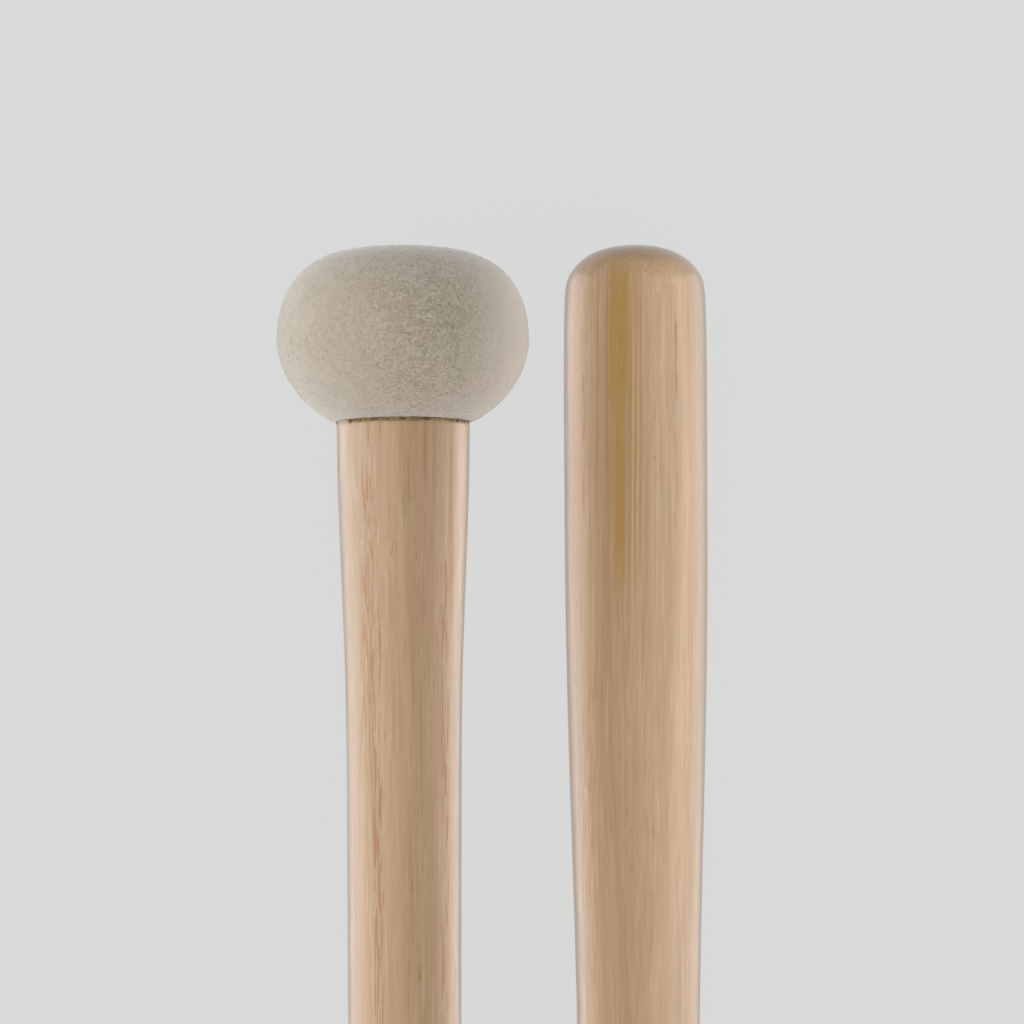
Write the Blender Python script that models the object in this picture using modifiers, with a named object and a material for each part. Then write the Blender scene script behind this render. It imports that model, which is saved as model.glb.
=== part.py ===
"""A pair of percussion mallets with hard felt heads, lying side by side and head to tail on a table.

Each mallet is a turned hickory handle whose tenon is glued into the bore of a pressed felt head.
The table is the plane z = 0. Mallet a has its head at +Y and mallet b has its butt there.
"""

import math

import bpy

# Driving dimensions, in metres. A distance "s" runs along a mallet from the end of its butt to its crown.
LENGTH = 0.346
HEAD_RADIUS = 0.015875
HEAD_HEIGHT = 0.0218
PITCH = 0.0293  # between the two mallets' axes
STAGGER = 0.00042  # each mallet lies this far towards its own butt

# The head is two halves of superellipses, |r / radius|^power + |s / height|^rise = 1, one above the other.
CROWN_HEIGHT, CROWN_POWER, CROWN_RISE = 0.01271, 3.15, 2.44
SKIRT_HEIGHT, SKIRT_POWER, SKIRT_RISE = 0.01261, 2.26, 2.00
SKIRT_CENTRE = 0.01121  # below the crown
WIDEST = 0.01190  # below the crown, where the halves meet
CROWN_FLAT = 0.0030  # radius of the flat that is left on top

# The butt is a bull nose of the same kind, and the handle swells, thins and flares again above it.
BUTT_RADIUS, BUTT_HEIGHT, BUTT_POWER, BUTT_RISE = 0.00880, 0.00555, 2.57, 1.77
BUTT_FLAT = 0.0020
HANDLE_STATIONS = (  # (s, radius)
    (0.0100, 0.00899),
    (0.0200, 0.00904),
    (0.0340, 0.00901),
    (0.0450, 0.00895),
    (0.0560, 0.00878),
    (0.0680, 0.00849),
    (0.0840, 0.00803),
    (0.1000, 0.00768),
    (0.1250, 0.00738),
    (0.1700, 0.00712),
    (0.2250, 0.00705),
    (0.2550, 0.00711),
    (0.2810, 0.00723),
    (0.2920, 0.00738),
    (0.3010, 0.00770),
    (0.3100, 0.00806),
    (0.3170, 0.00829),
)
COLLAR_RADIUS = 0.00838  # where the handle meets the head

# The joint inside the head.
TENON_RADIUS, TENON_LENGTH, TENON_CHAMFER = 0.00475, 0.0145, 0.0008
GLUE = 0.0004  # thickness of the glue, round the tenon and under the head
CLEARANCE = 0.0001  # between neighbouring solids
BORE_END_ROOM = 0.0010  # beyond the tenon's tip

STEPS = 40  # flat sides of a turned piece
CROWN_RINGS, SKIRT_RINGS, BUTT_RINGS = 11, 9, 7
MERGE = 0.00001
FACET = math.cos(math.pi / STEPS)  # a turned piece lies on its flat sides, which are this much nearer its axis

SEAT = LENGTH - HEAD_HEIGHT  # underside of the felt
SHOULDER = SEAT - GLUE - 2 * CLEARANCE
TENON_TIP = SHOULDER + TENON_LENGTH
BORE_RADIUS = TENON_RADIUS + GLUE + 2 * CLEARANCE
BORE_END = TENON_TIP + BORE_END_ROOM


def superellipse(depth, radius, height, power, rise):
    """The radius at this distance from the superellipse's middle."""
    return radius * max(0.0, 1.0 - (depth / height) ** rise) ** (1.0 / power)


def butt_outline():
    """(radius, s) up the bull nose, from its flat end. Angles even out the rings."""
    flat_angle = math.radians(8)
    points = []
    for i in range(BUTT_RINGS):
        angle = flat_angle + (math.pi / 2 - flat_angle) * i / (BUTT_RINGS - 1)
        depth = BUTT_HEIGHT * math.cos(angle)
        radius = superellipse(depth, BUTT_RADIUS, BUTT_HEIGHT, BUTT_POWER, BUTT_RISE)
        points.append((max(radius, BUTT_FLAT), BUTT_HEIGHT - depth))
    points[0] = (BUTT_FLAT, 0.0)
    return points


def handle_outline():
    """(radius, s) of the handle's outside, from the butt to the shoulder."""
    stations = [(radius, s) for s, radius in HANDLE_STATIONS]
    return butt_outline() + stations + [(COLLAR_RADIUS, SHOULDER)]


def head_outline():
    """(radius, s) of the felt's outside, from the crown's flat to the edge of its seat."""
    points = [(CROWN_FLAT, LENGTH)]
    for i in range(1, CROWN_RINGS):
        depth = WIDEST * (1 - math.cos(math.pi / 2 * i / (CROWN_RINGS - 1)))
        radius = superellipse(CROWN_HEIGHT - depth, HEAD_RADIUS, CROWN_HEIGHT, CROWN_POWER, CROWN_RISE)
        points.append((radius, LENGTH - depth))
    for i in range(1, SKIRT_RINGS + 1):
        depth = WIDEST + (HEAD_HEIGHT - WIDEST) * math.sin(math.pi / 2 * i / SKIRT_RINGS)
        radius = superellipse(depth - SKIRT_CENTRE, HEAD_RADIUS, SKIRT_HEIGHT, SKIRT_POWER, SKIRT_RISE)
        points.append((radius, LENGTH - depth))
    return points


def handle_profile():
    """The handle with its tenon, down its outer side from the tip."""
    return [
        (0.0, TENON_TIP),
        (TENON_RADIUS - TENON_CHAMFER, TENON_TIP),
        (TENON_RADIUS, TENON_TIP - TENON_CHAMFER),
        (TENON_RADIUS, SHOULDER),
        *reversed(handle_outline()),
        (0.0, 0.0),
    ]


def head_profile():
    """The felt head with its blind bore."""
    return [(0.0, LENGTH), *head_outline(), (BORE_RADIUS, SEAT), (BORE_RADIUS, BORE_END), (0.0, BORE_END)]


def glue_profile():
    """The glue: a sleeve round the tenon that spreads into a washer on the shoulder. A closed loop."""
    inner = TENON_RADIUS + CLEARANCE
    sleeve = BORE_RADIUS - CLEARANCE
    bottom = SHOULDER + CLEARANCE
    washer = bottom + GLUE
    top = TENON_TIP - TENON_CHAMFER
    return [(inner, top), (sleeve, top), (sleeve, washer), (COLLAR_RADIUS, washer), (COLLAR_RADIUS, bottom), (inner, bottom)]


def table_line():
    """(slope, radius at s = 0) of the line that the table draws along a mallet lying on head and butt."""
    slope = 0.0
    for _ in range(4):
        head_radius, head_s = max(head_outline(), key=lambda p: p[0] - slope * p[1])
        butt_radius, butt_s = max(handle_outline(), key=lambda p: p[0] - slope * p[1])
        slope = FACET * (head_radius - butt_radius) / (head_s - butt_s)
    return slope, FACET * butt_radius - slope * butt_s


def finish(name, colour, roughness):
    """A plain material."""
    made = bpy.data.materials.new(name)
    made.use_nodes = True
    shader = made.node_tree.nodes["Principled BSDF"]
    shader.inputs["Base Color"].default_value = (*colour, 1.0)
    shader.inputs["Roughness"].default_value = roughness
    shader.inputs["Metallic"].default_value = 0.0
    return made


def turned(name, profile, closed, material, holder, collection):
    """A piece turned about its holder's Z axis, with one of its flat sides straight down."""
    points = [(radius, 0.0, s) for radius, s in profile]
    edges = [(i, i + 1) for i in range(len(points) - 1)]
    if closed:
        edges.append((len(points) - 1, 0))
    mesh = bpy.data.meshes.new(name)
    mesh.from_pydata(points, edges, [])
    mesh.materials.append(material)
    piece = bpy.data.objects.new(name, mesh)
    collection.objects.link(piece)
    screw = piece.modifiers.new("Turn", "SCREW")
    screw.axis = "Z"
    screw.steps = STEPS
    screw.render_steps = STEPS
    screw.use_merge_vertices = True
    screw.merge_threshold = MERGE
    screw.use_smooth_shade = True
    piece.parent = holder
    piece.rotation_euler = (0.0, 0.0, math.pi / STEPS)
    return piece


def mallet(letter, side, turn, materials, collection):
    """One mallet: side is -1 or 1 along X, and turn is its heading about the vertical."""
    slope, butt_height = table_line()
    tilt = math.atan(slope)
    holder = bpy.data.objects.new(f"mallet_{letter}", None)
    collection.objects.link(holder)
    to_middle = LENGTH / 2 * math.cos(tilt) + STAGGER
    holder.location = (side * PITCH / 2, -math.cos(turn) * to_middle, butt_height * math.cos(tilt))
    holder.rotation_euler = (tilt - math.pi / 2, 0.0, turn)
    turned(f"handle_{letter}", handle_profile(), False, materials["hickory"], holder, collection)
    turned(f"felt_head_{letter}", head_profile(), False, materials["felt"], holder, collection)
    turned(f"glue_bond_{letter}", glue_profile(), True, materials["glue"], holder, collection)


def main():
    for leftover in list(bpy.data.objects):
        bpy.data.objects.remove(leftover)
    collection = bpy.data.collections.new("mallet_pair")
    bpy.context.scene.collection.children.link(collection)
    materials = {
        "hickory": finish("hickory", (0.48, 0.31, 0.17), 0.35),
        "felt": finish("felt", (0.42, 0.37, 0.29), 0.95),
        "glue": finish("glue", (0.16, 0.09, 0.04), 0.50),
    }
    mallet("a", -1, 0.0, materials, collection)
    mallet("b", 1, math.pi, materials, collection)


main()
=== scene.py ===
"""A pair of hard-felt timpani mallets: turned hickory handles with pressed felt heads, head to tail.

Each piece is made in its mallet's own frame: origin at the butt's end, +Z along the handle to the crown
and +Y up from the table. Lengths are in metres, and in millimetres inside the materials' nodes.
"""

import math
from typing import NamedTuple

import bpy
import numpy as np
from mathutils import Matrix, Vector, noise


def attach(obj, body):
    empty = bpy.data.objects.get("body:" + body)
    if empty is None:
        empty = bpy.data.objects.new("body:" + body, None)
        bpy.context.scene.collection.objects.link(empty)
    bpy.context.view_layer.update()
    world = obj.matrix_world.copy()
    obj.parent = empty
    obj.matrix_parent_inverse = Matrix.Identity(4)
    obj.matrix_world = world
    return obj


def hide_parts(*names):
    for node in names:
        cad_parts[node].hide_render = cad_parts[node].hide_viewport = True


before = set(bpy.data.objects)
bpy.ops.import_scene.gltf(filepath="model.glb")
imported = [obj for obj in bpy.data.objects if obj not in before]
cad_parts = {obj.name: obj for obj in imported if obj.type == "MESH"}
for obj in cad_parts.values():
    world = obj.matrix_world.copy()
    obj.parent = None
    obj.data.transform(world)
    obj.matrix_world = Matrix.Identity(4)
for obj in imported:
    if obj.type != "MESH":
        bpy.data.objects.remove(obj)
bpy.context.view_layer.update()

MM = 0.001


# Where the mallets lie, read from the frame.


def corners(node):
    """The CAD node's vertices, each once."""
    flat = np.empty(len(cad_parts[node].data.vertices) * 3)
    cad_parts[node].data.vertices.foreach_get("co", flat)
    return np.unique(np.round(flat.reshape(-1, 3), 7), axis=0)


class Mallet:
    """One mallet's own frame, its CAD rings, and the collections that its lights are linked to."""

    def __init__(self, letter):
        self.letter = letter
        self.body = f"mallet_{letter}"
        handle, head = corners(f"handle_{letter}"), corners(f"felt_head_{letter}")
        points = np.concatenate([handle, head])
        middle = handle.mean(axis=0)
        axis = np.linalg.svd(handle - middle, full_matrices=False)[2][0]
        axis *= np.sign(axis @ (head.mean(axis=0) - middle))
        along = (points - middle) @ axis
        self.length = along.max() - along.min()
        butt = middle + along.min() * axis
        forward = Vector(axis)
        right = forward.cross(Vector((0, 0, 1))).normalized()
        up = right.cross(forward)
        turn = Matrix((right, up, forward)).transposed().to_4x4()
        self.place = Matrix.Translation(Vector(butt)) @ turn
        self.handle_rings = self.rings(handle, butt, axis)
        self.head_rings = self.rings(head, butt, axis)
        self.pieces = bpy.data.collections.new(self.body)
        self.receivers = bpy.data.collections.new(f"lit_with_{self.body}")
        bpy.context.scene.collection.children.link(self.pieces)

    @staticmethod
    def rings(points, butt, axis):
        """Each ring's (distance from the butt, radius), sorted."""
        along = (points - butt) @ axis
        radius = np.linalg.norm(points - butt - np.outer(along, axis), axis=1)
        found = {(round(s, 5), round(r, 5)) for s, r in zip(along, radius)}
        return sorted(found)


# Turned shapes.

JOINT_RADIUS = 6 * MM  # wider than the tenon and its bore, and narrower than the outsides
NOSE, CROWN = 5 * MM, 1 * MM  # the outsides are narrower than that only this near a mallet's two ends
FILL = 0.27 * MM  # how far the wood and the felt each reach into the glue's gap, round its edge
LIP = 0.65 * MM  # how far the felt's lower edge draws in to the collar


def smooth_line(points, count):
    """A Catmull-Rom curve through the points, cut into this many points at even steps along its chords."""
    p = np.array(points)
    p = np.vstack([2 * p[0] - p[1], p, 2 * p[-1] - p[-2]])
    span = np.linalg.norm(np.diff(p[1:-1], axis=0), axis=1)
    at = np.concatenate([[0], np.cumsum(span)])
    where = np.linspace(0, at[-1], count)
    i = np.clip(np.searchsorted(at, where, side="right") - 1, 0, len(span) - 1)
    t = ((where - at[i]) / span[i])[:, None]
    a, b, c, d = p[i], p[i + 1], p[i + 2], p[i + 3]
    square, cube = 2 * a - 5 * b + 4 * c - d, 3 * b - a - 3 * c + d
    return 0.5 * (2 * b + (c - a) * t + square * t**2 + cube * t**3)


def handle_outline(mallet, count):
    """(s, radius) from the butt's middle, up the handle and over the tenon to the middle of its tip."""
    rings = mallet.handle_rings
    outside = [(s, r) for s, r in rings if r > JOINT_RADIUS or 0 < r and s < NOSE]
    shoulder, collar = outside[-1]
    tenon = [(s, r) for s, r in rings if 0 < r < JOINT_RADIUS and s > shoulder - MM]
    outside[-1] = (shoulder + FILL, collar)
    tenon[0] = (shoulder + FILL, tenon[0][1])
    return [(0, 0), *smooth_line(outside, count), *tenon, (tenon[-1][0], 0)]


def head_outline(mallet, count):
    """(s, radius) from the crown's middle, down the felt's outside and up its bore to the bore's end."""
    rings = mallet.head_rings
    top = mallet.length - CROWN
    outside = [(s, r) for s, r in reversed(rings) if r > JOINT_RADIUS or r > 0 and s > top]
    bore = [(s, r) for s, r in rings if 0 < r < JOINT_RADIUS and s < top]
    seat, rim = outside[-1]
    outside[-1] = (seat - FILL, rim - LIP)
    bore[0] = (seat - FILL, bore[0][1])
    return [(mallet.length, 0), *smooth_line(outside, count), *bore, (bore[-1][0], 0)]


def turned(name, rings, sides, from_crown=False):
    """A closed mesh of revolution about Z through (s, radius) rings. The first and last lie on the axis.

    The outline runs up the outside from the butt, or down it from the crown. Either way the faces point out.
    """
    angle = np.arange(sides) * 2 * math.pi / sides
    inner = np.array(rings[1:-1])
    x = np.outer(inner[:, 1], np.cos(angle))
    y = np.outer(inner[:, 1], np.sin(angle))
    z = np.repeat(inner[:, :1], sides, axis=1)
    points = np.stack([x, y, z], axis=2).reshape(-1, 3)
    points = np.vstack([points, [(0, 0, rings[0][0]), (0, 0, rings[-1][0])]])
    first, last = len(points) - 2, len(points) - 1
    faces = []
    for ring in range(len(inner) - 1):
        low, high = ring * sides, (ring + 1) * sides
        for i in range(sides):
            j = (i + 1) % sides
            faces.append((low + i, low + j, high + j, high + i))
    top = (len(inner) - 1) * sides
    for i in range(sides):
        j = (i + 1) % sides
        faces.append((first, j, i))
        faces.append((last, top + i, top + j))
    if from_crown:
        faces = [face[::-1] for face in faces]
    return made_mesh(name, points, faces)


def made_mesh(name, points, faces):
    mesh = bpy.data.meshes.new(name)
    mesh.from_pydata([tuple(p) for p in points], [], faces)
    mesh.shade_smooth()
    return mesh


def show(mesh, mallet, material, slot, *nodes):
    """The mesh as a piece of this mallet, in place of these CAD nodes."""
    piece = bpy.data.objects.new(mesh.name, mesh)
    mallet.pieces.objects.link(piece)
    mallet.receivers.objects.link(piece)
    piece.matrix_world = mallet.place
    mesh.materials.append(material)
    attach(piece, mallet.body)
    if nodes:
        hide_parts(*nodes)
    return piece


# Node materials.

SEED_STEP = (17.3, -9.1, 23.7)  # each seed reads a noise this far from where the last one does


class Graph:
    """Writes a material's nodes as expressions."""

    def __init__(self, name):
        self.material = bpy.data.materials.new(name)
        self.material.use_nodes = True
        self.tree = self.material.node_tree
        self.shader = self.tree.nodes["Principled BSDF"]
        self.point = self.vector("SCALE", self.node("TexCoord").outputs["Object"], scale=1 / MM)
        split = self.node("SeparateXYZ", self.point)
        self.x, self.y, self.z = split.outputs

    def node(self, kind, *inputs, **settings):
        made = self.tree.nodes.new("ShaderNode" + kind)
        for name, value in settings.items():
            setattr(made, name, value)
        for socket, value in zip(made.inputs, inputs):
            self.put(socket, value)
        return made

    def put(self, socket, value):
        if isinstance(value, bpy.types.NodeSocket):
            self.tree.links.new(value, socket)
        elif value is not None:
            socket.default_value = value

    def math(self, operation, *values):
        return self.node("Math", *values, operation=operation).outputs[0]

    def add(self, a, b):
        return self.math("ADD", a, b)

    def times(self, a, b):
        return self.math("MULTIPLY", a, b)

    def vector(self, operation, a, b=None, scale=None):
        made = self.node("VectorMath", a, b, operation=operation)
        if scale is not None:
            self.put(made.inputs["Scale"], scale)
        return made.outputs[0]

    def length(self, vector):
        return self.node("VectorMath", vector, operation="LENGTH").outputs["Value"]

    def noise(self, point, per_mm, detail=2.0, roughness=0.5, seed=0.0, turn=0.0):
        """Noise with this many grains per millimetre along each axis, turned about Y by degrees."""
        if turn:
            turned_point = self.node("VectorRotate", point, rotation_type="Y_AXIS")
            self.put(turned_point.inputs["Angle"], math.radians(turn))
            point = turned_point.outputs[0]
        shift = [seed * step for step in SEED_STEP]
        moved = self.node("Mapping", point, shift, (0, 0, 0), per_mm).outputs[0]
        made = self.node("TexNoise")
        self.put(made.inputs["Vector"], moved)
        self.put(made.inputs["Scale"], 1.0)
        self.put(made.inputs["Detail"], detail)
        self.put(made.inputs["Roughness"], roughness)
        return made

    def grey_noise(self, *args, **settings):
        """The noise as one value, of 0 to 1."""
        return self.noise(*args, **settings).outputs["Fac"]

    def warped(self, per_mm, by_mm, seed=0.0):
        """The point, moved about by a slow noise."""
        slow = self.noise(self.point, per_mm, detail=1.0, seed=seed).outputs["Color"]
        centred = self.vector("SUBTRACT", slow, (0.5, 0.5, 0.5))
        return self.vector("ADD", self.point, self.vector("MULTIPLY", centred, by_mm))

    def smooth(self, value, start, end):
        """0 at start, 1 at end and smooth between them. start may be above end."""
        made = self.node("MapRange", interpolation_type="SMOOTHSTEP")
        rising = start < end
        self.put(made.inputs["Value"], value)
        self.put(made.inputs["From Min"], min(start, end))
        self.put(made.inputs["From Max"], max(start, end))
        self.put(made.inputs["To Min"], 0.0 if rising else 1.0)
        self.put(made.inputs["To Max"], 1.0 if rising else 0.0)
        return made.outputs["Result"]

    def mix(self, share, a, b, blend="MIX"):
        """Colour a turning into b as share goes from 0 to 1."""
        made = self.node("Mix", data_type="RGBA", blend_type=blend)
        colours = [s for s in made.inputs if s.type == "RGBA"]
        self.put(made.inputs[0], share)
        self.put(colours[0], a)
        self.put(colours[1], b)
        return next(s for s in made.outputs if s.type == "RGBA")

    def tinge(self, colour, other, value, start, end, share):
        """The colour with up to this share of the other, none of it where the value is at start."""
        return self.mix(self.times(self.smooth(value, start, end), share), colour, other)

    def bump(self, height, distance, strength=1.0):
        made = self.node("Bump")
        self.put(made.inputs["Strength"], strength)
        self.put(made.inputs["Distance"], distance)
        self.put(made.inputs["Height"], height)
        return made.outputs[0]

    def surface(self, **values):
        """Sets the shader's inputs, whose names are given in lower case with underscores."""
        for name, value in values.items():
            self.put(self.shader.inputs[name.replace("_", " ").title().replace("Ior", "IOR")], value)


def rgb(red, green, blue):
    return (red, green, blue, 1.0)


WOOD_DEEP, WOOD_PALE, WOOD_PINK = rgb(0.54, 0.33, 0.155), rgb(0.66, 0.43, 0.225), rgb(0.64, 0.385, 0.215)
WOOD_EARLY, WOOD_LINE, WOOD_PORE = rgb(0.44, 0.26, 0.105), rgb(0.41, 0.23, 0.095), rgb(0.38, 0.17, 0.035)
# WOOD_GLEAM is partly the pale fibres' own colour and partly painted highlight along the grain.
WOOD_GLEAM, WOOD_END = rgb(0.74, 0.54, 0.34), rgb(0.44, 0.225, 0.04)
HEART, RED_LINE, DARK_LINE = rgb(0.49, 0.255, 0.005), rgb(0.43, 0.16, 0.015), rgb(0.34, 0.17, 0.015)
FELT_WARM, FELT_GREY, FELT_PALE = rgb(0.53, 0.445, 0.33), rgb(0.55, 0.47, 0.37), rgb(0.72, 0.635, 0.52)
# The last of these is painted shade, for the darker patch on mallet a's felt.
FELT_DEEP, FELT_FLECK, FELT_PAINTED_SHADE = rgb(0.35, 0.285, 0.20), rgb(0.16, 0.13, 0.10), rgb(0.28, 0.23, 0.15)
GLUE_DARK, GLUE_DUSTY = rgb(0.13, 0.08, 0.025), rgb(0.34, 0.23, 0.10)

RING_SPACING = 2.3  # millimetres a year
COAT, COAT_ROUGHNESS, COAT_IOR = 1.0, 0.24, 1.65  # satin lacquer
WOOD_SHEEN, WOOD_SHEEN_SPREAD = 0.9, 0.5
FELT_SHEEN, FELT_SHEEN_SPREAD = 1.0, 0.55
FIBRE_TURNS = (15, 60, 105, 150)  # degrees, the ways that the felt's fibres lie
WOOD_RELIEF, FELT_RELIEF, GLUE_RELIEF = 0.012 * MM, 0.05 * MM, 0.08 * MM  # how deep the bumps are


class Streak(NamedTuple):
    """A mark in the wood that runs along the grain. Millimetres, in the mallet's own frame.

    share is how much of its colour shows, and fade is how far it thins out past and before each end.
    """

    x: float
    width: float
    start: float
    end: float
    share: float
    colour: tuple
    fade: float
    dashed: bool = False


# Below mallet a's head: broken red-brown pore marks down both sides, and short dark lines at the collar.
NECK_STREAKS = (
    Streak(-3.5, 0.75, 240, 300, 0.95, RED_LINE, fade=3, dashed=True),
    Streak(-4.4, 0.9, 280, 318, 0.75, RED_LINE, fade=3, dashed=True),
    Streak(5.2, 0.55, 240, 308, 0.95, RED_LINE, fade=3, dashed=True),
    Streak(6.0, 0.3, 300, 322, 0.5, RED_LINE, fade=4),
    Streak(0.7, 0.12, 313, 319, 0.6, DARK_LINE, fade=1.5),
    Streak(2.7, 0.14, 316, 323, 0.5, DARK_LINE, fade=2),
    Streak(-4.35, 0.18, 320.5, 324, 0.7, DARK_LINE, fade=1),
    Streak(-2.9, 0.16, 321.5, 324, 0.6, DARK_LINE, fade=1),
)

# On mallet b's butt: a golden streak of heartwood, fine dark and pale lines beside it, and pore marks.
BUTT_STREAKS = (
    Streak(1.6, 2.6, 3, 40, 0.35, HEART, fade=9),
    Streak(2.25, 1.45, 3, 21, 0.85, HEART, fade=4),
    Streak(2.0, 0.75, 21, 43, 0.9, HEART, fade=7),
    Streak(3.7, 0.12, 4, 30, 0.5, DARK_LINE, fade=3),
    Streak(4.85, 0.14, 4, 26, 0.35, DARK_LINE, fade=4),
    Streak(0.75, 0.12, 10, 46, 0.45, DARK_LINE, fade=5),
    Streak(0.4, 0.12, 8, 44, 0.4, WOOD_GLEAM, fade=5),
    Streak(0.1, 0.10, 16, 48, 0.45, DARK_LINE, fade=5),
    Streak(-0.2, 0.12, 12, 40, 0.35, WOOD_GLEAM, fade=5),
    Streak(-0.55, 0.10, 8, 42, 0.4, DARK_LINE, fade=5),
    Streak(-5.1, 0.20, 7, 36, 0.7, RED_LINE, fade=2, dashed=True),
    Streak(6.7, 0.22, 17, 38, 0.8, RED_LINE, fade=2, dashed=True),
    Streak(6.0, 1.2, 52, 96, 0.4, RED_LINE, fade=6, dashed=True),
)

# Painted shade on mallet a's felt: a darker patch right of the head's middle.
HEAD_PAINTED_SHADE = (((5.5, 13.0, 335.5), 8.0, 0.30),)  # (centre, radius, share) on mallet a, in millimetres


def hickory(name, seed, pith, tint, streaks):
    """Satin-lacquered hickory: growth rings round an off-centre pith, lengthwise fibres, open pores."""
    g = Graph(name)
    grain = g.warped((0.05, 0.05, 0.009), (3.0, 3.0, 0.0), seed=seed)
    from_pith = g.vector("MULTIPLY", g.vector("SUBTRACT", grain, pith), (1.0, 1.0, 0.0))
    year = g.math("FRACT", g.times(g.length(from_pith), 1 / RING_SPACING))
    early = g.times(g.smooth(year, 0.0, 0.12), g.smooth(year, 0.62, 0.14))
    side_grain = g.smooth(g.z, 1.5, 5.0)

    broad = g.grey_noise(grain, (0.24, 0.24, 0.010), detail=2.0, seed=seed + 1)
    hue = g.grey_noise(grain, (0.42, 0.42, 0.012), detail=2.0, seed=seed + 2)
    fibre = g.grey_noise(grain, (2.2, 2.2, 0.045), detail=4.0, roughness=0.66, seed=seed + 3)
    hair = g.grey_noise(grain, (6.5, 6.5, 0.22), detail=2.0, seed=seed + 4)
    pores = g.grey_noise(grain, (5.0, 5.0, 0.30), detail=1.0, seed=seed + 5)
    crowd = g.grey_noise(grain, (0.35, 0.35, 0.03), detail=1.0, seed=seed + 6)
    gleam = g.grey_noise(grain, (3.4, 3.4, 0.07), detail=3.0, seed=seed + 7)

    colour = g.mix(g.smooth(broad, 0.38, 0.64), WOOD_DEEP, WOOD_PALE)
    colour = g.tinge(colour, WOOD_PINK, hue, 0.46, 0.60, 0.50)
    colour = g.mix(g.times(early, 0.22), colour, WOOD_EARLY)
    colour = g.tinge(colour, WOOD_LINE, fibre, 0.47, 0.68, 0.40)
    colour = g.tinge(colour, WOOD_LINE, hair, 0.52, 0.72, 0.30)
    # Pale fibre lines, partly the wood's own colour and partly painted highlight.
    colour = g.tinge(colour, WOOD_GLEAM, gleam, 0.54, 0.70, 0.45)
    for k, streak in enumerate(streaks):
        colour = g.mix(streak_mask(g, grain, streak, seed + 10 + k), colour, streak.colour)

    end_grain = g.tinge(WOOD_END, WOOD_PORE, pores, 0.52, 0.66, g.add(0.25, g.times(early, 0.6)))
    end_grain = g.tinge(end_grain, WOOD_PALE, gleam, 0.46, 0.62, 0.35)
    colour = g.tinge(colour, end_grain, g.z, 4.0, 0.3, 0.85)
    colour = g.mix(1.0, colour, tint, blend="MULTIPLY")

    crowded = g.add(g.times(early, 0.6), g.smooth(crowd, 0.45, 0.70))
    open_pore = g.math("MINIMUM", g.times(g.smooth(pores, 0.66, 0.73), crowded), 1.0)
    open_pore = g.times(open_pore, side_grain)
    colour = g.mix(g.times(open_pore, 0.60), colour, WOOD_PORE)

    relief = g.add(g.times(fibre, 0.5), g.times(hair, 0.35))
    relief = g.times(g.math("SUBTRACT", relief, g.times(open_pore, 0.8)), side_grain)
    g.surface(
        base_color=colour,
        roughness=g.add(g.times(fibre, 0.12), g.add(0.36, g.times(open_pore, 0.2))),
        normal=g.bump(relief, WOOD_RELIEF, 0.8),
        coat_weight=COAT,
        coat_roughness=COAT_ROUGHNESS,
        coat_ior=COAT_IOR,
        sheen_weight=WOOD_SHEEN,
        sheen_roughness=WOOD_SHEEN_SPREAD,
    )
    return g.material


def streak_mask(g, grain, streak, seed):
    """How much of the streak's colour shows. It lies on the mallet's upper side only."""
    split = g.node("SeparateXYZ", grain)
    x, z = split.outputs[0], split.outputs[2]
    off = g.math("ABSOLUTE", g.math("SUBTRACT", x, streak.x))
    across = g.smooth(off, streak.width, streak.width * 0.7)
    ends = g.times(
        g.smooth(z, streak.start - streak.fade, streak.start + streak.fade),
        g.smooth(z, streak.end + streak.fade, streak.end - streak.fade),
    )
    if streak.dashed:
        broken = g.smooth(g.grey_noise(grain, (4.6, 4.6, 0.17), detail=1.0, seed=seed), 0.52, 0.58)
    else:
        broken = g.smooth(g.grey_noise(grain, (3.5, 3.5, 0.04), detail=3.0, seed=seed), 0.26, 0.50)
    upper = g.smooth(g.y, 0.0, 3.0)
    mask = g.times(g.times(across, ends), g.times(upper, broken))
    return g.times(mask, streak.share)


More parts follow.
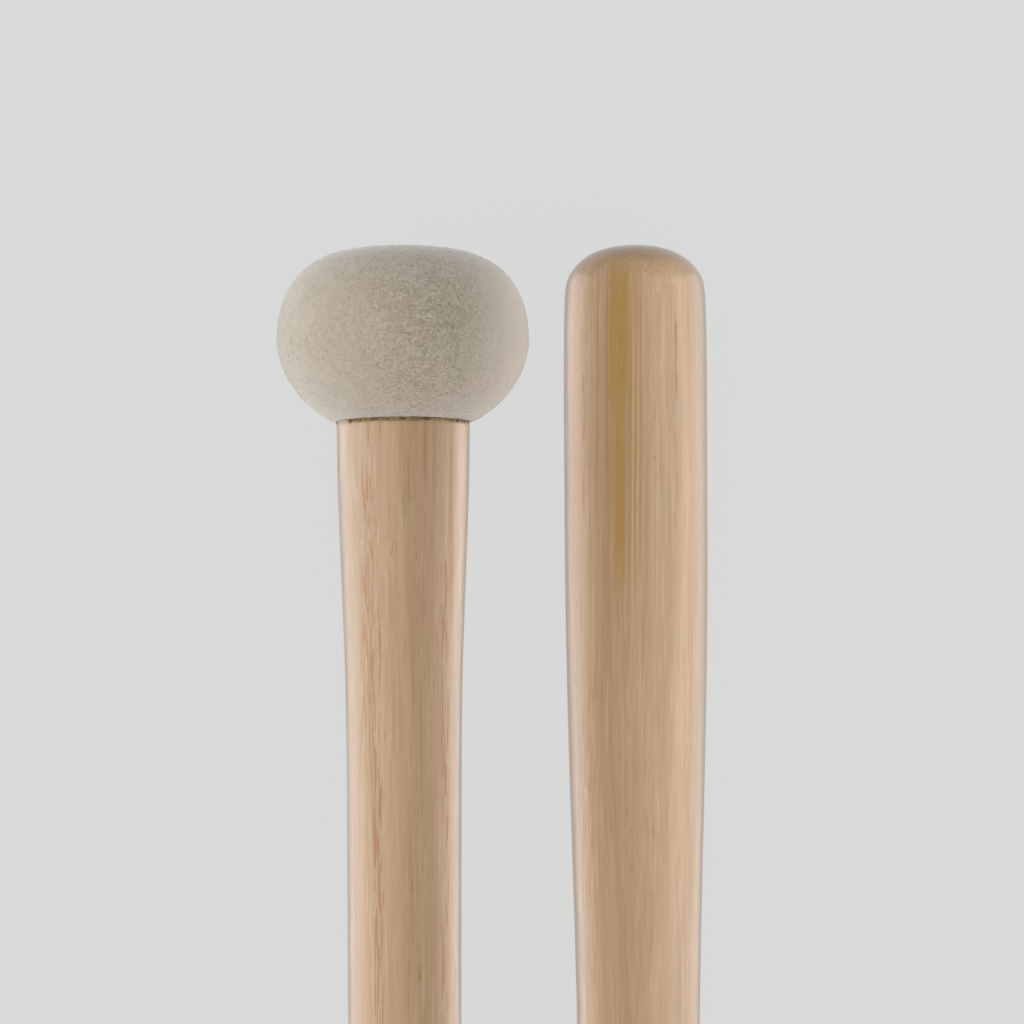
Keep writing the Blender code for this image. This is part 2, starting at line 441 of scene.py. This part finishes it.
def pressed_felt(name, seed, painted_shades):
    """Hard pressed wool felt: short fibres lying in whorls and a few dark ones, with painted shade and
    painted light.
    """
    g = Graph(name)
    swirl = g.warped((0.10, 0.10, 0.10), (4.0, 4.0, 4.0), seed=seed)
    light, dark = 0.0, 0.0
    for k, turn in enumerate(FIBRE_TURNS):
        fibres = g.grey_noise(swirl, (0.95, 3.8, 3.8), detail=1.0, seed=seed + 3 + k, turn=turn)
        light = g.math("MAXIMUM", light, fibres)
        fibres = g.grey_noise(swirl, (1.0, 4.0, 4.0), detail=1.0, seed=seed + 13 + k, turn=turn + 20)
        dark = g.math("MAXIMUM", dark, fibres)
    grit = g.grey_noise(g.point, (2.4, 2.4, 2.4), detail=3.0, roughness=0.7, seed=seed + 6)
    clumps = g.grey_noise(g.point, (0.8, 0.8, 0.8), detail=3.0, seed=seed + 7)
    cloud = g.grey_noise(g.point, (0.16, 0.16, 0.16), detail=2.0, seed=seed + 8)
    flecks = g.grey_noise(swirl, (2.4, 1.1, 1.6), detail=0.0, seed=seed + 9)
    rubbed = g.times(g.smooth(g.x, -9.0, 4.0), g.smooth(g.x, 15.0, 7.0))
    rubbed = g.add(0.35, g.times(rubbed, 0.65))

    colour = g.mix(g.smooth(cloud, 0.36, 0.64), FELT_WARM, FELT_GREY)
    colour = g.tinge(colour, FELT_DEEP, clumps, 0.40, 0.70, 0.22)
    colour = g.tinge(colour, FELT_PALE, grit, 0.42, 0.66, 0.30)
    colour = g.tinge(colour, FELT_PALE, light, 0.60, 0.72, g.times(rubbed, 0.75))
    colour = g.tinge(colour, FELT_DEEP, dark, 0.60, 0.72, g.times(rubbed, 0.80))
    colour = g.tinge(colour, FELT_FLECK, flecks, 0.78, 0.84, 0.4)
    # Painted shade: each given patch is darkened, broken up by the felt's grit and clumps.
    for centre, radius, share in painted_shades:
        far = g.length(g.vector("SUBTRACT", g.point, centre))
        shade_patch = g.times(g.smooth(far, radius, 0.0), g.smooth(g.add(grit, clumps), 0.80, 1.15))
        colour = g.mix(g.times(shade_patch, share), colour, FELT_PAINTED_SHADE)
    # Painted light: the felt turns paler towards +X, its side next to the other mallet.
    colour = g.tinge(colour, FELT_PALE, g.x, 6.0, 14.0, 0.46)

    height = g.add(g.times(light, 0.7), g.add(g.times(grit, 0.5), g.times(clumps, 0.3)))
    g.surface(
        base_color=colour,
        roughness=0.92,
        normal=g.bump(height, FELT_RELIEF, 0.7),
        sheen_weight=FELT_SHEEN,
        sheen_roughness=FELT_SHEEN_SPREAD,
        specular_ior_level=0.2,
    )
    return g.material


def old_glue(name):
    """Dark glue, shiny in places and dusty with felt in others."""
    g = Graph(name)
    blotch = g.grey_noise(g.point, (0.9, 0.9, 0.9), detail=3.0)
    g.surface(
        base_color=g.mix(g.smooth(blotch, 0.40, 0.62), GLUE_DARK, GLUE_DUSTY),
        roughness=g.add(0.35, g.times(blotch, 0.4)),
        normal=g.bump(blotch, GLUE_RELIEF),
    )
    return g.material


# The pieces.

HANDLE_RINGS, HANDLE_SIDES = 420, 96
HEAD_RINGS, HEAD_SIDES = 170, 320
WOOD_WEAR = ((0.02 * MM, 45.0), (0.008 * MM, 170.0))  # (depth, bumps per metre)
FELT_WEAR = ((0.05 * MM, 90.0), (0.025 * MM, 500.0), (0.03 * MM, 1700.0))
WEAR_STEP = (3.7, 1.9, 5.3)  # as SEED_STEP, for the wear's noise

BEAD_SIDES, BEAD_SECTION = 600, 10
BEAD_DEPTH = 0.12 * MM  # half of the bead's thickness, in and out
BEAD_WAVES = (2.5, 17.0, 48.0)  # how quickly its swelling, its blobs and its teeth follow each other

FUZZ_FIBRES, FIBRE_JOINTS, FIBRE_SIDES = 4200, 5, 3
FIBRE_ROOT = 0.02 * MM  # how deep a fibre starts in the felt
TABLE_ROOM = 0.8 * MM  # no fibre starts this close to the table


def worn(mesh, wear, seed):
    """Moves each vertex along its normal by slow noises, so that a turned piece isn't perfectly round."""
    shift = Vector([seed * step for step in WEAR_STEP])
    normals = [v.normal.copy() for v in mesh.vertices]
    for vertex, normal in zip(mesh.vertices, normals):
        at = vertex.co
        value = sum(depth * noise.noise(at * per_metre + shift) for depth, per_metre in wear)
        vertex.co = at + normal * value


def make_handle(mallet, seed, material):
    mesh = turned(f"hickory_handle_{mallet.letter}", handle_outline(mallet, HANDLE_RINGS), HANDLE_SIDES)
    worn(mesh, WOOD_WEAR, seed)
    show(mesh, mallet, material, "hickory", f"handle_{mallet.letter}")


def make_head(mallet, seed, material):
    outline = head_outline(mallet, HEAD_RINGS)
    mesh = turned(f"pressed_felt_{mallet.letter}", outline, HEAD_SIDES, from_crown=True)
    worn(mesh, FELT_WEAR, seed)
    return show(mesh, mallet, material, "pressed_felt", f"felt_head_{mallet.letter}")


def make_glue(mallet, seed, material):
    """The ragged bead that was squeezed out between felt and shoulder, more of it on the upper side."""
    shoulder = max(s for s, r in mallet.handle_rings if r > JOINT_RADIUS)
    seat = min(s for s, r in mallet.head_rings)
    collar = max(r for s, r in mallet.handle_rings if s == shoulder)
    points, faces = [], []
    for i in range(BEAD_SIDES):
        angle = 2 * math.pi * i / BEAD_SIDES
        spot = Vector((math.cos(angle), math.sin(angle), 0))
        slow, quick, teeth = (noise.noise(spot * f + Vector((0, 0, seed + f))) for f in BEAD_WAVES)
        swell = max(0.0, 0.45 + 0.35 * spot.y + 0.7 * slow + 0.7 * quick)
        middle = collar + (-0.20 + 0.28 * swell + 0.14 * teeth) * MM
        height = (0.14 + 0.14 * swell + 0.24 * teeth) * MM
        level = (seat + shoulder) / 2 - 0.12 * swell * MM
        for k in range(BEAD_SECTION):
            turn = 2 * math.pi * k / BEAD_SECTION
            r = middle + BEAD_DEPTH * math.cos(turn)
            z = level + height * math.sin(turn)
            points.append((r * math.cos(angle), r * math.sin(angle), z))
    for i in range(BEAD_SIDES):
        for k in range(BEAD_SECTION):
            a, b = i * BEAD_SECTION, ((i + 1) % BEAD_SIDES) * BEAD_SECTION
            m = (k + 1) % BEAD_SECTION
            faces.append((a + k, b + k, b + m, a + m))
    mesh = made_mesh(f"glue_bead_{mallet.letter}", points, faces)
    show(mesh, mallet, material, "glue", f"glue_bond_{mallet.letter}")


def make_fuzz(mallet, seed, head, material):
    """Short loose fibres that lie on the felt and lift a little off it, except where it meets the table."""
    random = np.random.default_rng(seed)
    mesh = head.data
    areas = np.array([p.area for p in mesh.polygons])
    open_to_air = np.array([grows_fuzz(mallet, p.center) for p in mesh.polygons])
    chance = areas * open_to_air / (areas * open_to_air).sum()
    points, faces = [], []
    for index in random.choice(len(areas), FUZZ_FIBRES, p=chance):
        polygon = mesh.polygons[index]
        normal = polygon.normal
        heading = normal.orthogonal().normalized()
        heading.rotate(Matrix.Rotation(random.uniform(0, 2 * math.pi), 3, normal))
        strand(points, faces, random, Vector(polygon.center), normal, heading)
    mesh = made_mesh(f"felt_fuzz_{mallet.letter}", points, faces)
    show(mesh, mallet, material, "pressed_felt")


def grows_fuzz(mallet, at):
    in_bore = math.hypot(at.x, at.y) < JOINT_RADIUS and at.z < mallet.length - 2 * MM
    on_table = (mallet.place @ at).z < TABLE_ROOM
    return not in_bore and not on_table


def strand(points, faces, random, root, normal, heading):
    """Adds one closed fibre that leaves its root this way and bends as it goes."""
    length = random.uniform(0.3, 0.9) * MM
    thick = random.uniform(0.008, 0.014) * MM
    lift = random.uniform(0.02, 0.12)
    bend = random.normal(0, 1.4)
    step = length / (FIBRE_JOINTS - 1)
    first = len(points)
    at = root - normal * FIBRE_ROOT
    for j in range(FIBRE_JOINTS):
        side = normal.cross(heading)
        for k in range(FIBRE_SIDES):
            turn = 2 * math.pi * k / FIBRE_SIDES
            points.append(at + (side * math.cos(turn) + normal * math.sin(turn)) * thick)
        heading = heading.copy()
        heading.rotate(Matrix.Rotation(bend / FIBRE_JOINTS, 3, normal))
        rising = math.cos(math.pi * j / (FIBRE_JOINTS - 1))
        at = at + (heading + normal * lift * rising).normalized() * step
    for j in range(FIBRE_JOINTS - 1):
        for k in range(FIBRE_SIDES):
            a, b = first + j * FIBRE_SIDES + k, first + j * FIBRE_SIDES + (k + 1) % FIBRE_SIDES
            faces.append((a, b, b + FIBRE_SIDES, a + FIBRE_SIDES))
    last = first + (FIBRE_JOINTS - 1) * FIBRE_SIDES
    faces.append(tuple(first + k for k in reversed(range(FIBRE_SIDES))))
    faces.append(tuple(last + k for k in range(FIBRE_SIDES)))


def make_mallet(letter, seed, pith, tint, streaks, painted_shades, glue):
    """The whole mallet. pith is where the tree's middle was, in millimetres in the mallet's frame."""
    mallet = Mallet(letter)
    felt = pressed_felt(f"felt_{letter}", seed, painted_shades)
    make_handle(mallet, seed, hickory(f"hickory_{letter}", seed, pith, tint, streaks))
    head = make_head(mallet, seed, felt)
    make_glue(mallet, seed, glue)
    make_fuzz(mallet, seed, head, felt)
    return mallet


# The stage.

CAMERA_HEIGHT, LENS, CAMERA_ROLL = 1.5, 417.0, math.radians(-0.2)
AIM = Vector((-0.0010, 0.1394, 0.012))  # between mallet a's neck and mallet b's butt

FLOOR_SIZE, FLOOR_LEVEL = 60.0, -0.2 * MM
FLOOR_GLOW, FLOOR_ALBEDO = 0.664, 0.04
WORLD_GREY, WORLD_LOW, WORLD_HIGH = 0.694, 0.31, 0.766
HORIZON = 0.05  # the world turns from low to high within this height of the horizon

# Each mallet's lights: (name, side, lowest angle, highest angle, radiance for each mallet). The side is 1
# for the mallet's outer side and -1 for the side next to the other mallet. Angles are in degrees.
BOX_DISTANCE, BOX_LENGTH = 0.8, 1.2
BOXES = (
    ("outer", 1, 16, 64, {"a": 0.76, "b": 0.74}),
    ("outer_under", 1, -50, 16, {"a": 1.24, "b": 0.95}),
    ("inner", -1, -12, 16, {"a": 0.62, "b": 0.85}),
    ("inner_under", -1, -50, -12, {"a": 1.52, "b": 1.38}),
)


def make_camera():
    """A long lens straight above the object's middle, looking down and a little towards +Y."""
    camera = bpy.data.objects.new("camera", bpy.data.cameras.new("camera"))
    bpy.context.scene.collection.objects.link(camera)
    bpy.context.scene.camera = camera
    camera.data.lens = LENS
    camera.data.clip_end = 100.0
    camera.location = (AIM.x, 0.0, CAMERA_HEIGHT)
    camera.rotation_mode = "QUATERNION"
    look = (AIM - camera.location).to_track_quat("-Z", "Y")
    camera.rotation_quaternion = look @ Matrix.Rotation(CAMERA_ROLL, 3, "Z").to_quaternion()


def make_world():
    """Soft light from all round, more of it from above the horizon."""
    made = bpy.data.worlds.new("studio")
    bpy.context.scene.world = made
    made.use_nodes = True
    nodes, links = made.node_tree.nodes, made.node_tree.links
    background = nodes["Background"]
    background.inputs["Color"].default_value = rgb(*[WORLD_GREY] * 3)
    split = nodes.new("ShaderNodeSeparateXYZ")
    links.new(nodes.new("ShaderNodeTexCoord").outputs["Generated"], split.inputs[0])
    rise = nodes.new("ShaderNodeMapRange")
    rise.inputs["From Min"].default_value = -HORIZON
    rise.inputs["From Max"].default_value = HORIZON
    rise.inputs["To Min"].default_value = WORLD_LOW
    rise.inputs["To Max"].default_value = WORLD_HIGH
    links.new(split.outputs["Z"], rise.inputs["Value"])
    links.new(rise.outputs["Result"], background.inputs["Strength"])


def make_floor():
    """A pale ground that is bright mostly by its own light, so that shadows on it stay faint."""
    bpy.ops.mesh.primitive_plane_add(size=FLOOR_SIZE, location=(0, 0, FLOOR_LEVEL))
    ground = bpy.context.object
    ground.name = "ground"
    g = Graph("ground")
    g.surface(
        base_color=rgb(*[FLOOR_ALBEDO] * 3),
        roughness=0.9,
        emission_color=rgb(1, 1, 1),
        emission_strength=FLOOR_GLOW,
        specular_ior_level=0.0,
    )
    ground.data.materials.append(g.material)
    ground.visible_diffuse = False
    ground.visible_glossy = False
    return ground


def softbox(name, mallet, toward, low, high, radiance):
    """A long soft light for one mallet, level with it and between these angles above the floor, in degrees.

    toward is -1 or 1 along X. Only that mallet and the floor receive it, and only that mallet shades it, so
    that neither mallet stands in the other's light, and a light below the floor still reaches its mallet.
    """
    middle, half = math.radians((low + high) / 2), math.radians((high - low) / 2)
    data = bpy.data.lights.new(name, "AREA")
    data.shape = "RECTANGLE"
    data.size, data.size_y = BOX_LENGTH, 2 * BOX_DISTANCE * math.tan(half)
    data.energy = radiance * math.pi * data.size * data.size_y
    data.cycles.use_multiple_importance_sampling = False
    lamp = bpy.data.objects.new(name, data)
    lamp.location = (toward * BOX_DISTANCE * math.cos(middle), 0.0, BOX_DISTANCE * math.sin(middle))
    lamp.rotation_euler = (math.pi / 2 - middle, 0, toward * math.pi / 2)
    lamp.visible_camera = False
    lamp.light_linking.receiver_collection = mallet.receivers
    lamp.light_linking.blocker_collection = mallet.pieces
    bpy.context.scene.collection.objects.link(lamp)


def light(mallet, ground, outward):
    """The mallet's own lights. outward is -1 or 1, the way along X that its outer side faces."""
    mallet.receivers.objects.link(ground)
    for name, side, low, high, radiance in BOXES:
        softbox(f"{name}_{mallet.letter}", mallet, side * outward, low, high, radiance[mallet.letter])


def main():
    make_camera()
    make_world()
    bpy.context.scene.view_settings.view_transform = "Standard"
    glue = old_glue("glue")
    a = make_mallet(
        "a",
        seed=1,
        pith=(-22.0, -30.0, 0.0),
        tint=rgb(1.0, 0.975, 0.945),
        streaks=NECK_STREAKS,
        painted_shades=HEAD_PAINTED_SHADE,
        glue=glue,
    )
    b = make_mallet(
        "b",
        seed=2,
        pith=(16.0, -34.0, 0.0),
        tint=rgb(1.04, 1.0, 0.955),
        streaks=BUTT_STREAKS,
        painted_shades=(),
        glue=glue,
    )
    ground = make_floor()
    light(a, ground, -1)
    light(b, ground, 1)


main()
